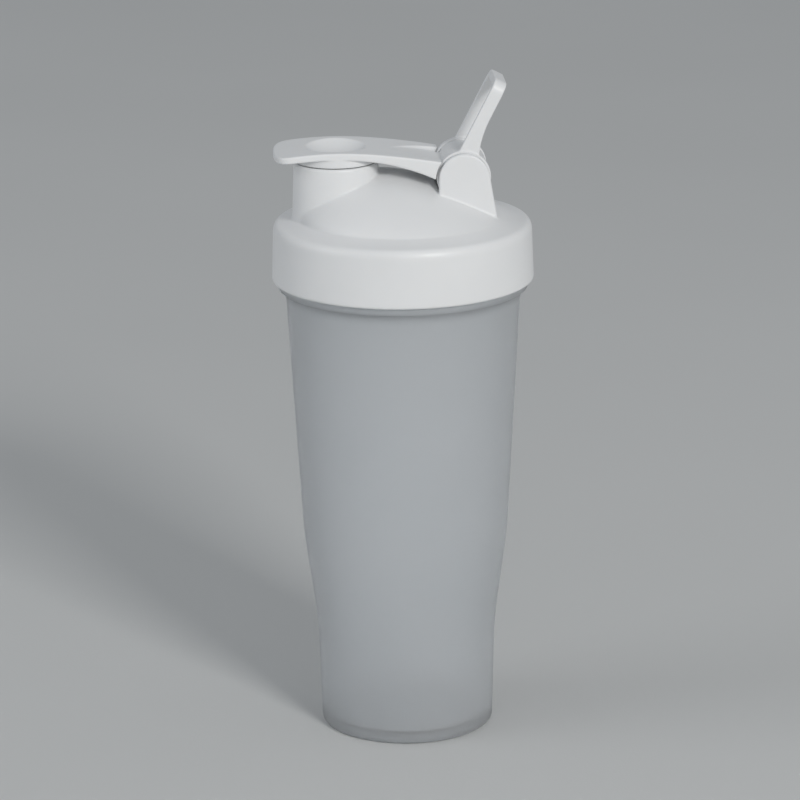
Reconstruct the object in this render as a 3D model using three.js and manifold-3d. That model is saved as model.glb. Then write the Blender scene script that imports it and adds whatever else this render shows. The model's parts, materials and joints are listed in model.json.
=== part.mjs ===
// A protein shaker bottle: a tapered frosted cup, a screw lid with a drinking spout, a flip cap and
// a carry loop that share one hinge, a seal ring and a mixing grid that snaps in under the lid.
// Millimetres, +Z up. The origin is the centre of the base, on the surface the bottle stands on.
// The spout points along -X, and the hinge's pivot line runs along Y on the +X side.

import * as THREE from 'three';
import { mergeVertices } from 'three/addons/utils/BufferGeometryUtils.js';
import Module from 'manifold-3d';

const wasm = await Module();
wasm.setup();

// ---- Driving dimensions ------------------------------------------------------------------------

const ROUND_STEPS = 48; // facets round the bottle's own axis
const FINE_STEPS = 32; // facets round the spout and the hinge
const CURVE_STEPS = 4; // pieces in each curved stretch of an outline
const DOME_STEPS = 8; // pieces in the dome's outline
const BITE = 0.5; // how far a joined detail runs into the wall it stands on

// Cup: a slim grip below, a swelling in the middle, then a straight taper up to the collar.
const BASE_RADIUS = 31.9;
const BASE_CORNER = 2;
const GRIP = { radius: 32.85, z: 33 };
const SWELL = [{ radius: 33.3, z: 47 }, { radius: 37.3, z: 65 }]; // bends the side between grip and taper
const TAPER_FOOT = { radius: 38.1, z: 79 };
const TAPER_TOP = { radius: 42.9, z: 163.5 };
const WALL = 1.8;
const FLOOR_Z = 3.4;
const FLOOR_CORNER = 3;
const RECESS = { radius: 23, depth: 1.4, slope: 1.5 };
const COLLAR = { radius: 45.9, z: 171, height: 2.4, bendRadius: 43.2, bendZ: 167.2 };
const NECK = { radius: 43.4, bore: 41.5, z: 188, corner: 0.6 };

// Screw thread: one right-hand ridge on the neck and one inside the lid's skirt.
const THREAD = { pitch: 5, turns: 1.3, startZ: 174.8, rootWidth: 2, crestWidth: 1, steps: 48 };
const NECK_CREST = 44.85;
const SKIRT_CREST = 44.45;
const THREAD_DROP = 1.55; // the lid's ridge runs this far below the neck's ridge

// Lid: a tapered skirt, a rounded edge, a narrow ledge and a dome. The dome is round at every height,
// but its circles lean towards the spout more and more as they go up.
const SKIRT = { radius: 48, bore: 45.95, bottomZ: 171.3 };
const EDGE = { radius: 47.4, startZ: 189.2, endRadius: 45.4, endZ: 192.75 };
const LEDGE_BEND = { radius: 42, z: 193.5 };
const DOME_FOOT = { radius: 38.6, z: 194.9 };
const DOME_BENDS = [{ radius: 34.5, z: 199.6 }, { radius: 22, z: 208.2 }];
const DOME_TOP = { radius: 6, z: 211.2 };
const LEAN = 7.8; // how far the top circle stands off the bottle's axis
const SHELL = { upright: 1.8, sideways: 1.6 }; // the dome's thickness, measured both ways
const DECK_Z = 190.2;
const PLUG_RING = { radius: 41.1, bore: 39.7, bottomZ: 184.5 };

// Spout, on the -X side of the lid.
const SPOUT = { x: -24, radius: 15.4, footRadius: 16.3, bore: 13.4, footZ: 193.6, z: 215.4 };

// Hinge, on the +X side: ear, loop hub, cap barrel, loop hub, ear.
const PIVOT = { x: 21.8, z: 210.7 };
const EAR = { radius: 9.25, inner: 12, outer: 15, frontZ: 204.5, footX: 33.8, footZ: 195.2, headAngle: 0.18 };
const STUB = { radius: 3, reach: 6.2 };
const HUB = { radius: 9.85, inner: 8.7, outer: 11.7 };
const BARREL = { radius: 9.5, half: 8.35 };
const PIN_HOLE = 3.35;
const POCKET = { radius: 10.25, wall: 1.9 };

// Flip cap.
const CAP = { half: 15, tipX: -46.8, peakZ: 221.3, endZ: 217.3, thickness: 2.65, hubClearance: 10.35 };
const TAB = { startX: -40, roundness: 0.75, bendX: -36, topDrop: 2, underDrop: 4.3 };
const ARM_BENDS = [{ x: -10, z: 218.4 }, { x: 0, z: 216.2 }]; // bends the arm's underside
const DISH = { radius: 11.65, depth: 4 };
const SCOOP = { apexX: -6, apexZ: 220.3, endX: 15, half: 10.4, depth: 1.8, bend: 0.4, spread: 0.82 };
const SEAT = { radius: 15, bore: 13.7, bottomZ: 215.75 };
const PLUG = { radius: 12.9, bore: 11.2, tipRadius: 12.5, bottomZ: 211.2, floorZ: 215.4 };

// Carry loop, in its own frame: +X runs up the arms, and +Z is the side that faces the spout.
const LOOP = { angle: 62.6, length: 37.2, half: 11.7, arm: 1.9, bar: 3, front: 5.9, back: 1.25, corner: 5 };
const LOOP_ROOT = { back: -1.6, end: 9, bend: 15, blend: 24 }; // the arms' deeper root, along the arms

// Seal ring and mixing grid.
const SEAL = { inner: 41.5, outer: 45.5, bottomZ: 188.35, topZ: 189.85 };
const GRID = { radius: 39.35, bore: 36.6, bottomZ: 185.2, topZ: 188.2, plate: 1.6, cell: 9.4, bar: 1.8 };
const LUG = { count: 4, span: 0.26, reach: 0.95, height: 0.45 };

// ---- Materials ---------------------------------------------------------------------------------

const frosted = new THREE.MeshStandardMaterial({ color: 0x9fa5ac, roughness: 0.5, metalness: 0 });
const whitePlastic = new THREE.MeshStandardMaterial({ color: 0xe4e5e6, roughness: 0.42, metalness: 0 });
const silicone = new THREE.MeshStandardMaterial({ color: 0xcdd2d4, roughness: 0.6, metalness: 0 });

// ---- Tools for joining and cutting -------------------------------------------------------------

function toSolid(geometry) {
  const bare = geometry.clone();
  bare.deleteAttribute('normal');
  bare.deleteAttribute('uv');
  const merged = mergeVertices(bare, 1e-4);
  const corners = merged.index.array;
  const kept = [];
  for (let i = 0; i < corners.length; i += 3) {
    const [a, b, c] = [corners[i], corners[i + 1], corners[i + 2]];
    if (a !== b && b !== c && c !== a) kept.push(a, b, c);
  }
  const vertProperties = new Float32Array(merged.attributes.position.array);
  return new wasm.Manifold(new wasm.Mesh({ numProp: 3, vertProperties, triVerts: new Uint32Array(kept) }));
}

function makeMesh(name, solid, material) {
  const { vertProperties, triVerts } = solid.getMesh();
  const geometry = new THREE.BufferGeometry();
  geometry.setAttribute('position', new THREE.BufferAttribute(new Float32Array(vertProperties), 3));
  geometry.setIndex(Array.from(triVerts));
  geometry.computeVertexNormals();
  const mesh = new THREE.Mesh(geometry, material);
  mesh.name = name;
  return mesh;
}

// Turns a closed outline of radius and height about the bottle's axis, or an upright line at x.
function turned(outline, steps = ROUND_STEPS, x = 0, curveSteps = CURVE_STEPS) {
  const geometry = new THREE.LatheGeometry(outline.getPoints(curveSteps), steps);
  geometry.rotateX(Math.PI / 2);
  geometry.translate(x, 0, 0);
  return toSolid(geometry);
}

// Turns a closed list of [radius, height] corners.
function turnedCorners(corners, steps = ROUND_STEPS, x = 0) {
  return turned(new THREE.Path(corners.map(([radius, z]) => new THREE.Vector2(radius, z))), steps, x);
}

function ring(inner, outer, bottomZ, topZ, steps = ROUND_STEPS, x = 0) {
  const corners = [[inner, bottomZ], [outer, bottomZ], [outer, topZ], [inner, topZ], [inner, bottomZ]];
  return turnedCorners(corners, steps, x);
}

// A slab whose outline is drawn in x and z, and which runs along Y from one y to another.
function slab(shape, fromY, toY) {
  const geometry = new THREE.ExtrudeGeometry(shape, {
    depth: toY - fromY,
    bevelEnabled: false,
    curveSegments: 2 * CURVE_STEPS,
  });
  geometry.rotateX(Math.PI / 2);
  geometry.translate(0, toY, 0);
  return toSolid(geometry);
}

// A slab whose outline is drawn in x and y, and which runs up Z from one height to another.
function plate(shape, fromZ, toZ, curveSegments = 2 * CURVE_STEPS) {
  const depth = toZ - fromZ;
  const geometry = new THREE.ExtrudeGeometry(shape, { depth, bevelEnabled: false, curveSegments });
  geometry.translate(0, 0, fromZ);
  return toSolid(geometry);
}

// A cylinder along the pivot line, from one y to another.
function pivotCylinder(radius, fromY, toY, steps = FINE_STEPS) {
  const geometry = new THREE.CylinderGeometry(radius, radius, toY - fromY, steps);
  geometry.translate(PIVOT.x, (fromY + toY) / 2, PIVOT.z);
  return toSolid(geometry);
}

// Makes a part on the near side of the mid-plane and its twin on the far side.
function bothSides(make) {
  return make(-1).add(make(1));
}

// A span of y between two distances from the mid-plane, on the side given by the sign.
function sideSpan(sign, inner, outer) {
  return sign < 0 ? [-outer, -inner] : [inner, outer];
}

// A thread ridge: a trapezium is extruded straight, then wound round the axis as a helix. The ridge
// fades in and out over the first and last steps.
function threadRidge(root, crest, startZ) {
  const { pitch, turns, rootWidth, crestWidth, steps } = THREAD;
  const section = new THREE.Shape();
  section.moveTo(root, -rootWidth / 2);
  section.lineTo(crest, -crestWidth / 2);
  section.lineTo(crest, crestWidth / 2);
  section.lineTo(root, rootWidth / 2);
  section.closePath();
  const geometry = new THREE.ExtrudeGeometry(section, { depth: 1, steps, bevelEnabled: false });
  const position = geometry.attributes.position;
  for (let i = 0; i < position.count; i++) {
    const along = 1 - position.getZ(i);
    const angle = along * turns * 2 * Math.PI;
    const fade = Math.min(1, 0.2 + Math.min(along, 1 - along) * steps * 0.4);
    const radius = root + (position.getX(i) - root) * fade;
    const z = startZ + position.getY(i) * fade + along * turns * pitch;
    position.setXYZ(i, radius * Math.cos(angle), radius * Math.sin(angle), z);
  }
  return toSolid(geometry);
}

// ---- Cup ---------------------------------------------------------------------------------------

function makeCup() {
  const [low, high] = SWELL;
  const inside = (radius) => radius - WALL;
  const outline = new THREE.Path();
  outline.moveTo(0, RECESS.depth);
  outline.lineTo(RECESS.radius, RECESS.depth);
  outline.lineTo(RECESS.radius + RECESS.slope, 0);
  outline.lineTo(BASE_RADIUS - BASE_CORNER, 0);
  outline.quadraticCurveTo(BASE_RADIUS, 0, BASE_RADIUS, BASE_CORNER);
  outline.lineTo(GRIP.radius, GRIP.z);
  outline.bezierCurveTo(low.radius, low.z, high.radius, high.z, TAPER_FOOT.radius, TAPER_FOOT.z);
  outline.lineTo(TAPER_TOP.radius, TAPER_TOP.z);
  outline.quadraticCurveTo(COLLAR.bendRadius, COLLAR.bendZ, COLLAR.radius, COLLAR.z - COLLAR.height);
  outline.lineTo(COLLAR.radius, COLLAR.z);
  outline.lineTo(NECK.radius, COLLAR.z);
  outline.lineTo(NECK.radius, NECK.z - NECK.corner);
  outline.lineTo(NECK.radius - NECK.corner, NECK.z);
  outline.lineTo(NECK.bore + NECK.corner / 2, NECK.z);
  outline.lineTo(NECK.bore, NECK.z - NECK.corner);
  outline.lineTo(inside(TAPER_TOP.radius), TAPER_TOP.z - 1);
  outline.lineTo(inside(TAPER_FOOT.radius), TAPER_FOOT.z);
  outline.bezierCurveTo(inside(high.radius), high.z, inside(low.radius), low.z, inside(GRIP.radius), GRIP.z);
  outline.lineTo(inside(BASE_RADIUS), FLOOR_Z + FLOOR_CORNER);
  outline.quadraticCurveTo(inside(BASE_RADIUS), FLOOR_Z, inside(BASE_RADIUS) - FLOOR_CORNER, FLOOR_Z);
  outline.lineTo(0, FLOOR_Z);
  const ridge = threadRidge(NECK.radius - BITE, NECK_CREST, THREAD.startZ);
  return makeMesh('cup', turned(outline).add(ridge), frosted);
}

// ---- Screw lid ---------------------------------------------------------------------------------

// How far the dome's circle at a height stands off the bottle's axis.
function leanAt(z) {
  const share = THREE.MathUtils.clamp((z - DOME_FOOT.z) / (DOME_TOP.z - DOME_FOOT.z), 0, 1);
  return -LEAN * share * (2 - share);
}

// Everything above the deck and under the lid's outer face, as one solid. An inset draws it narrower.
function makeDomeBulk(inset = 0) {
  const at = (point) => [point.radius - inset, point.z];
  const [low, high] = DOME_BENDS;
  const edgeBend = { radius: EDGE.radius - 0.3, z: EDGE.endZ - BITE };
  const edgeEnd = { radius: EDGE.endRadius, z: EDGE.endZ };
  const outline = new THREE.Path();
  outline.moveTo(0, DECK_Z);
  outline.lineTo(EDGE.radius - inset, DECK_Z);
  outline.quadraticCurveTo(...at(edgeBend), ...at(edgeEnd));
  outline.quadraticCurveTo(...at(LEDGE_BEND), ...at(DOME_FOOT));
  outline.bezierCurveTo(...at(low), ...at(high), ...at(DOME_TOP));
  outline.lineTo(0, DOME_TOP.z);
  return turned(outline, ROUND_STEPS, 0, DOME_STEPS).warp((point) => {
    point[0] += leanAt(point[2]);
  });
}

// The space under the dome, inside the plug ring: the dome itself, lower and narrower by its thickness.
function makeDomeSpace() {
  const inside = ring(0, PLUG_RING.bore, DECK_Z - 2 * SHELL.upright, DOME_TOP.z);
  return makeDomeBulk(SHELL.sideways).translate([0, 0, -SHELL.upright]).intersect(inside);
}

// The skirt, the deck over the cup's rim and the plug ring.
function makeSkirt() {
  const topZ = DECK_Z + BITE;
  return turnedCorners([
    [PLUG_RING.bore, topZ],
    [PLUG_RING.bore, PLUG_RING.bottomZ],
    [PLUG_RING.radius, PLUG_RING.bottomZ],
    [PLUG_RING.radius, DECK_Z],
    [SKIRT.bore, DECK_Z],
    [SKIRT.bore, SKIRT.bottomZ],
    [SKIRT.radius, SKIRT.bottomZ],
    [EDGE.radius, EDGE.startZ],
    [EDGE.radius, topZ],
    [PLUG_RING.bore, topZ],
  ]);
}

function makeSpoutOuter() {
  const corners = [
    [0, SPOUT.footZ],
    [SPOUT.footRadius, SPOUT.footZ],
    [SPOUT.radius, SPOUT.z - 0.5],
    [SPOUT.radius - 0.5, SPOUT.z],
    [0, SPOUT.z],
  ];
  return turnedCorners(corners, FINE_STEPS, SPOUT.x);
}

function makeSpoutBore() {
  const corners = [
    [0, DECK_Z - 2],
    [SPOUT.bore, DECK_Z - 2],
    [SPOUT.bore, SPOUT.z + 1],
    [0, SPOUT.z + 1],
  ];
  return turnedCorners(corners, FINE_STEPS, SPOUT.x);
}

// An ear of the hinge: a round head, an upright front edge and a back edge that flares to its foot,
// which follows the dome's slope just under its surface.
function makeEar(sign) {
  const shape = new THREE.Shape();
  shape.moveTo(PIVOT.x - EAR.radius, EAR.frontZ);
  shape.lineTo(EAR.footX, EAR.footZ);
  shape.absarc(PIVOT.x, PIVOT.z, EAR.radius, EAR.headAngle, Math.PI, false);
  shape.closePath();
  const [from, to] = sideSpan(sign, EAR.inner, EAR.outer);
  return slab(shape, from, to);
}

// A stub pin on an ear's inner face: the loop's hub and the cap's barrel turn on it.
function makeStub(sign) {
  const [from, to] = sideSpan(sign, STUB.reach, EAR.inner + 1);
  return pivotCylinder(STUB.radius, from, to, 24);
}

// Small lugs inside the plug ring, one row under the grid's rim and one over it.
function makeLugRow(bottomZ) {
  const lugs = [];
  for (let i = 0; i < LUG.count; i++) {
    const middle = ((i + 0.5) * 2 * Math.PI) / LUG.count;
    const shape = new THREE.Shape();
    shape.absarc(0, 0, PLUG_RING.bore + 0.5, middle - LUG.span / 2, middle + LUG.span / 2, false);
    shape.absarc(0, 0, PLUG_RING.bore - LUG.reach, middle + LUG.span / 2, middle - LUG.span / 2, true);
    shape.closePath();
    lugs.push(plate(shape, bottomZ, bottomZ + LUG.height, 3));
  }
  return wasm.Manifold.union(lugs);
}

function makeLid() {
  const wallSide = EAR.inner + POCKET.wall;
  const bulk = makeDomeBulk();
  const space = makeDomeSpace();
  const pocketWall = pivotCylinder(POCKET.radius + POCKET.wall, -wallSide, wallSide)
    .intersect(bulk.translate([0, 0, -BITE]));
  const pocket = pivotCylinder(POCKET.radius, -EAR.inner, EAR.inner);
  const ridgeZ = THREAD.startZ - THREAD_DROP;
  const solid = bulk
    .add(makeSkirt())
    .subtract(space)
    .add(makeSpoutOuter().subtract(space.translate([0, 0, BITE])))
    .add(pocketWall)
    .subtract(makeSpoutBore())
    .subtract(pocket)
    .add(bothSides(makeEar))
    .add(bothSides(makeStub))
    .add(makeLugRow(PLUG_RING.bottomZ))
    .add(makeLugRow(GRID.topZ + 0.3))
    .add(threadRidge(SKIRT.bore + BITE, SKIRT_CREST, ridgeZ));
  return makeMesh('screw_lid', solid, whitePlastic);
}

// ---- Flip cap ----------------------------------------------------------------------------------

// The cap from the side: nearly flat over the spout, then deeper towards the hinge.
function makeCapSide() {
  const rearX = PIVOT.x - BARREL.radius;
  const rearZ = PIVOT.z - 0.3;
  const tipX = CAP.tipX - 1;
  const underZ = CAP.peakZ - CAP.thickness;
  const [front, back] = ARM_BENDS;
  const shape = new THREE.Shape();
  shape.moveTo(tipX, CAP.peakZ - TAB.underDrop);
  shape.quadraticCurveTo(TAB.bendX, underZ, SPOUT.x, underZ);
  shape.bezierCurveTo(front.x, front.z, back.x, back.z, rearX, rearZ);
  shape.lineTo(PIVOT.x, rearZ);
  shape.lineTo(PIVOT.x, CAP.endZ - 0.6);
  shape.lineTo(rearX + 1, CAP.endZ);
  shape.quadraticCurveTo(front.x, CAP.peakZ, SPOUT.x, CAP.peakZ);
  shape.quadraticCurveTo(TAB.bendX, CAP.peakZ, tipX, CAP.peakZ - TAB.topDrop);
  shape.closePath();
  return slab(shape, -CAP.half, CAP.half);
}

// The cap from above: straight sides, and a broad blunt tab past the spout for the thumb.
function makeCapPlan() {
  const endX = CAP.tipX;
  const shoulderX = TAB.startX - TAB.roundness * (TAB.startX - endX);
  const shoulderY = TAB.roundness * CAP.half;
  const shape = new THREE.Shape();
  shape.moveTo(PIVOT.x, -CAP.half);
  shape.lineTo(PIVOT.x, CAP.half);
  shape.lineTo(TAB.startX, CAP.half);
  shape.bezierCurveTo(shoulderX, CAP.half, endX, shoulderY, endX, 0);
  shape.bezierCurveTo(endX, -shoulderY, shoulderX, -CAP.half, TAB.startX, -CAP.half);
  shape.closePath();
  return plate(shape, PIVOT.z - 5, CAP.peakZ + 5);
}

// The round dish over the spout, sunk into the top of the plug.
function makeDish() {
  const sphere = (DISH.radius ** 2 + DISH.depth ** 2) / (2 * DISH.depth);
  const centreZ = CAP.peakZ - DISH.depth + sphere;
  const edgeAngle = Math.asin(DISH.radius / sphere);
  const outline = new THREE.Path();
  outline.moveTo(0, CAP.peakZ - DISH.depth);
  outline.absarc(0, centreZ, sphere, -Math.PI / 2, -Math.PI / 2 + edgeAngle, false);
  outline.lineTo(DISH.radius + 0.3, CAP.peakZ + 1);
  outline.lineTo(0, CAP.peakZ + 1);
  return turned(outline, FINE_STEPS, SPOUT.x);
}

// The scoop in the arm's top: an arrowhead that widens and deepens towards the hinge.
function makeScoop() {
  const length = SCOOP.endX - SCOOP.apexX;
  const bendX = SCOOP.bend * length;
  const bendY = SCOOP.spread * SCOOP.half;
  const shape = new THREE.Shape();
  shape.moveTo(0, 0);
  shape.quadraticCurveTo(bendX, -bendY, length, -SCOOP.half);
  shape.lineTo(length, SCOOP.half);
  shape.quadraticCurveTo(bendX, bendY, 0, 0);
  const endZ = CAP.endZ - SCOOP.depth;
  const geometry = new THREE.ExtrudeGeometry(shape, { depth: 8, bevelEnabled: false, curveSegments: 6 });
  geometry.rotateY(Math.atan2(SCOOP.apexZ - endZ, length));
  geometry.translate(SCOOP.apexX, 0, SCOOP.apexZ);
  return toSolid(geometry);
}

// The plug: a ring that enters the spout, closed above by a floor that carries the dish.
function makePlug() {
  const rootZ = CAP.peakZ - CAP.thickness + BITE;
  const corners = [
    [PLUG.bore, PLUG.bottomZ],
    [PLUG.tipRadius, PLUG.bottomZ],
    [PLUG.radius, PLUG.bottomZ + 1.5],
    [PLUG.radius, rootZ],
    [0, rootZ],
    [0, PLUG.floorZ],
    [PLUG.bore, PLUG.floorZ],
    [PLUG.bore, PLUG.bottomZ],
  ];
  return turnedCorners(corners, FINE_STEPS, SPOUT.x);
}

function makeCap() {
  const rootZ = CAP.peakZ - CAP.thickness + BITE;
  const seat = ring(SEAT.bore, SEAT.radius, SEAT.bottomZ, rootZ, FINE_STEPS, SPOUT.x);
  const hubSpace = (sign) => {
    const [from, to] = sideSpan(sign, BARREL.half, CAP.half + 1);
    return pivotCylinder(CAP.hubClearance, from, to);
  };
  const pinHole = (sign) => {
    const [from, to] = sideSpan(sign, STUB.reach - 0.4, BARREL.half + 1);
    return pivotCylinder(PIN_HOLE, from, to, 24);
  };
  const solid = makeCapSide()
    .intersect(makeCapPlan())
    .subtract(bothSides(hubSpace))
    .add(pivotCylinder(BARREL.radius, -BARREL.half, BARREL.half))
    .subtract(bothSides(pinHole))
    .subtract(makeScoop())
    .add(makePlug())
    .subtract(makeDish())
    .add(seat);
  return makeMesh('flip_cap', solid, whitePlastic);
}

// ---- Carry loop --------------------------------------------------------------------------------

// The loop's arms and bar face-on: an upside-down U, drawn with x up the arms and y across.
function makeLoopFace() {
  const { length, half, arm, bar, corner } = LOOP;
  const inner = half - arm;
  const innerCorner = corner - bar + 0.5;
  const shape = new THREE.Shape();
  shape.moveTo(0, -half);
  shape.lineTo(length - corner, -half);
  shape.quadraticCurveTo(length, -half, length, -half + corner);
  shape.lineTo(length, half - corner);
  shape.quadraticCurveTo(length, half, length - corner, half);
  shape.lineTo(0, half);
  shape.lineTo(0, inner);
  shape.lineTo(length - bar - innerCorner, inner);
  shape.quadraticCurveTo(length - bar, inner, length - bar, inner - innerCorner);
  shape.lineTo(length - bar, -inner + innerCorner);
  shape.quadraticCurveTo(length - bar, -inner, length - bar - innerCorner, -inner);
  shape.lineTo(0, -inner);
  shape.closePath();
  return plate(shape, -HUB.radius, HUB.radius, 3);
}

// The arms from the side: a straight front edge, and a back edge that sweeps out to the hub.
function makeLoopSide() {
  const shape = new THREE.Shape();
  shape.moveTo(0, LOOP_ROOT.back);
  shape.lineTo(LOOP_ROOT.end, LOOP_ROOT.back);
  shape.quadraticCurveTo(LOOP_ROOT.bend, LOOP.back, LOOP_ROOT.blend, LOOP.back);
  shape.lineTo(LOOP.length, LOOP.back);
  shape.lineTo(LOOP.length, LOOP.front);
  shape.lineTo(0, LOOP.front);
  shape.closePath();
  return slab(shape, -HUB.outer, HUB.outer);
}

function makeLoop() {
  const disc = (radius, inner, outer) => (sign) => {
    const [from, to] = sideSpan(sign, inner, outer);
    const geometry = new THREE.CylinderGeometry(radius, radius, to - from, FINE_STEPS);
    geometry.translate(0, (from + to) / 2, 0);
    return toSolid(geometry);
  };
  const solid = makeLoopFace()
    .intersect(makeLoopSide())
    .add(bothSides(disc(HUB.radius, HUB.inner, HUB.outer)))
    .subtract(bothSides(disc(PIN_HOLE, HUB.inner - 1, HUB.outer + 1)));
  const mesh = makeMesh('carry_loop', solid, whitePlastic);
  mesh.rotation.y = -THREE.MathUtils.degToRad(LOOP.angle);
  return mesh;
}

// ---- Seal ring and mixing grid -----------------------------------------------------------------

function makeSeal() {
  const { inner, outer, bottomZ, topZ } = SEAL;
  const middle = (inner + outer) / 2;
  const corners = [
    [inner, bottomZ + 0.4],
    [middle - 0.8, bottomZ],
    [middle + 0.8, bottomZ],
    [outer, bottomZ + 0.4],
    [outer, topZ],
    [inner, topZ],
    [inner, bottomZ + 0.4],
  ];
  return makeMesh('lid_seal', turnedCorners(corners), silicone);
}

// A flat lattice of square cells inside a deeper rim. Cells that would reach the rim stay closed.
function makeGrid() {
  const { radius, bore, bottomZ, topZ, cell, bar } = GRID;
  const disc = new THREE.CylinderGeometry(radius - 0.6, radius - 0.6, GRID.plate, ROUND_STEPS);
  disc.rotateX(Math.PI / 2);
  disc.translate(0, 0, bottomZ + GRID.plate / 2);
  const hole = cell - bar;
  const reach = Math.ceil(bore / cell);
  const holes = [];
  for (let column = -reach; column <= reach; column++) {
    for (let row = -reach; row <= reach; row++) {
      const [x, y] = [column * cell, row * cell];
      if (Math.hypot(Math.abs(x) + hole / 2, Math.abs(y) + hole / 2) > bore - 0.8) continue;
      const box = new THREE.BoxGeometry(hole, hole, 4 * GRID.plate);
      box.translate(x, y, bottomZ);
      holes.push(toSolid(box));
    }
  }
  const lattice = toSolid(disc).subtract(wasm.Manifold.union(holes));
  return makeMesh('mixing_grid', lattice.add(ring(bore, radius, bottomZ, topZ)), whitePlastic);
}

// ---- Assembly ----------------------------------------------------------------------------------

const hinge = new THREE.Group();
hinge.position.set(PIVOT.x, 0, PIVOT.z);
hinge.add(makeLoop());

const shaker = new THREE.Group();
shaker.add(makeCup(), makeLid(), makeCap(), makeSeal(), makeGrid(), hinge);

export default shaker;
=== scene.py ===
"""A protein shaker bottle in a plain, softly lit studio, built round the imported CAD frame.

Shapes are worked out in millimetres in the frame's own axes, +Z up with the spout towards -X, and written
to Blender in metres.
"""
import json
import math

import bmesh
import bpy
import numpy as np
from mathutils import Matrix, Vector


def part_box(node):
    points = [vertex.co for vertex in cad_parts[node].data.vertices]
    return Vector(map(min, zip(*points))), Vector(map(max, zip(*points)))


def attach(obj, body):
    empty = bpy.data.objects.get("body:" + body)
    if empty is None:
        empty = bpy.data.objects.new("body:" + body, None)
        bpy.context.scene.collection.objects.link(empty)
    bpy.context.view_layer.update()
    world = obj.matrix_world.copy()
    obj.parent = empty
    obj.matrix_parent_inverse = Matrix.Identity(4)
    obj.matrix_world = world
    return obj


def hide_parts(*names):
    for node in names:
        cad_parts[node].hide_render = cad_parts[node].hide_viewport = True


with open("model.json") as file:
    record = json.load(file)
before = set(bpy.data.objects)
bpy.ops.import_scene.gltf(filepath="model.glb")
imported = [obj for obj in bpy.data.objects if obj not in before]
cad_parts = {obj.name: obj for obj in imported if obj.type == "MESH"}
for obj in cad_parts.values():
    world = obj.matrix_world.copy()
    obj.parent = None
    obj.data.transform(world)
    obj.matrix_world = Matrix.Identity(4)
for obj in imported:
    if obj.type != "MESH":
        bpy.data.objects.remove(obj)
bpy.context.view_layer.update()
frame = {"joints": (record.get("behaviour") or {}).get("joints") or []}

MM = 0.001

# ---- Sizes, in millimetres -----------------------------------------------------------------------


def node_box(node):
    """Lowest and highest corner of a CAD node, in millimetres."""
    low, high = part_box(node)
    return np.array(low) / MM, np.array(high) / MM


def joint_place(name):
    """A joint's position in the frame, in millimetres."""
    joint = next(j for j in frame["joints"] if j["name"] == name)
    return np.array(joint["pos_m"]) / MM


_, CUP_HIGH = node_box("cup")
LID_LOW, LID_HIGH = node_box("screw_lid")
CAP_LOW, CAP_HIGH = node_box("flip_cap")
SEAL_LOW, SEAL_HIGH = node_box("lid_seal")
GRID_LOW, GRID_HIGH = node_box("mixing_grid")
PIVOT_X, _, PIVOT_Z = joint_place("cap_flip")

# Cup
WALL = 1.8
BASE_RADIUS, BASE_CORNER = 31.9, 2.4
GRIP_RADIUS, GRIP_Z = 32.85, 33.0
SWELL_BENDS = [(33.3, 47.0), (37.3, 65.0)]
TAPER_FOOT_RADIUS, TAPER_FOOT_Z = 38.1, 79.0
TAPER_TOP_RADIUS, TAPER_TOP_Z = 42.9, 163.5
COLLAR_RADIUS, COLLAR_Z, COLLAR_HEIGHT = CUP_HIGH[0], 171.0, 2.4
COLLAR_BEND = (43.2, 167.2)
NECK_RADIUS, NECK_BORE = 43.4, 41.5
RIM_Z = CUP_HIGH[2]
NECK_BLEND = 6.0
FLOOR_Z, FLOOR_CORNER = 3.4, 4.0
RECESS_RADIUS, RECESS_DEPTH, RECESS_SLOPE = 23.0, 1.4, 1.5

# Screw thread
PITCH, TURNS, THREAD_Z, THREAD_DROP = 5.0, 1.3, 174.8, 1.55
NECK_CREST, SKIRT_CREST = 44.85, 44.45
NECK_ROOT_SUNK, SKIRT_ROOT_SUNK = 0.5, 0.4
THREAD_FADE, THREAD_LEAST = 1 / 12, 0.03  # the share of a turn it fades over, and the least share left

# Lid
SKIRT_RADIUS, SKIRT_BORE, SKIRT_Z = LID_HIGH[0], 45.95, LID_LOW[2]
EDGE_RADIUS, EDGE_START_Z = 47.4, 189.2
EDGE_END_RADIUS, EDGE_END_Z = 45.4, 192.75
LEDGE_BEND = (42.0, 193.5)
DOME_FOOT_RADIUS, DOME_FOOT_Z = 38.6, 194.9
DOME_BENDS = [(34.5, 199.6), (22.0, 208.2)]
DOME_TOP_RADIUS, DOME_TOP_Z = 6.0, 211.2
LEAN = 7.8
SHELL_UPRIGHT, SHELL_SIDEWAYS = 1.8, 1.6
DECK_Z = 190.2
PLUG_RING_RADIUS, PLUG_RING_BORE, PLUG_RING_Z = 41.1, 39.7, 184.5
LID_EDGE, LID_FILLET, SPACE_EDGE = 0.3, 0.35, 0.8

# Spout and hinge
SPOUT_X, SPOUT_RADIUS, SPOUT_FOOT_RADIUS, SPOUT_BORE = -24.0, 15.4, 16.3, 13.4
SPOUT_FOOT_Z, SPOUT_TOP_Z = 193.6, 215.4
EAR_RADIUS, EAR_INNER, EAR_OUTER, EAR_HEAD_ANGLE = 9.25, 12.0, 15.0, 0.18
EAR_FRONT_Z, EAR_FOOT_X, EAR_FOOT_Z = 204.5, 33.8, 195.2
SPOUT_EDGE, EAR_EDGE, STUB_EDGE, TROUGH_FILLET = 0.35, 0.4, 0.4, 0.4
STUB_RADIUS, STUB_REACH = 3.0, 6.2
HUB_RADIUS, HUB_INNER, HUB_OUTER = 9.85, 8.7, 11.7
BARREL_RADIUS, BARREL_HALF = 9.5, 8.35
PIN_HOLE, PIN_HOLE_PLAY = 3.35, 0.4
POCKET_RADIUS, POCKET_WALL = 10.25, 1.9

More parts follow.
